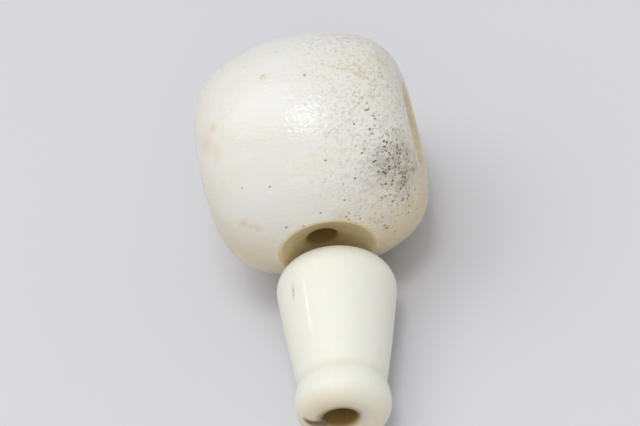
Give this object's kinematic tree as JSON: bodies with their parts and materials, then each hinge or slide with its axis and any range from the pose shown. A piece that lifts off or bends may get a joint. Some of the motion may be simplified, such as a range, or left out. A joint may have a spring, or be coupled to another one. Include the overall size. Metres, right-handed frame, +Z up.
{
  "type": "guru bead and tower bead",
  "caption": "Barrel-shaped guru bead with a through bore and a dished third hole, and a tapering tower bead with a domed end, a neck and a ring foot.",
  "frame": {"origin": "centre of the guru bead, on the axis of its string bore; the third hole's axis passes 0.2 mm from it, towards -X", "axes": "+X along the string bore; +Z up from the surface that both beads lie on, which is 8 mm below the origin; -Y towards the tower bead"},
  "size_m": [0.0142, 0.0272, 0.016],
  "materials": {
    "guru_bone": "satin",
    "tower_bone": "satin"
  },
  "bodies": {
    "guru": {"guru_bead": "guru_bone"},
    "tower": {"tower_bead": "tower_bone"}
  },
  "joints": [
    {"name": "tower_pull", "type": "slide", "parent": "guru", "child": "tower", "axis": [-0.075, -0.9972, 0], "range_m": [0, 0.015]}
  ]
}
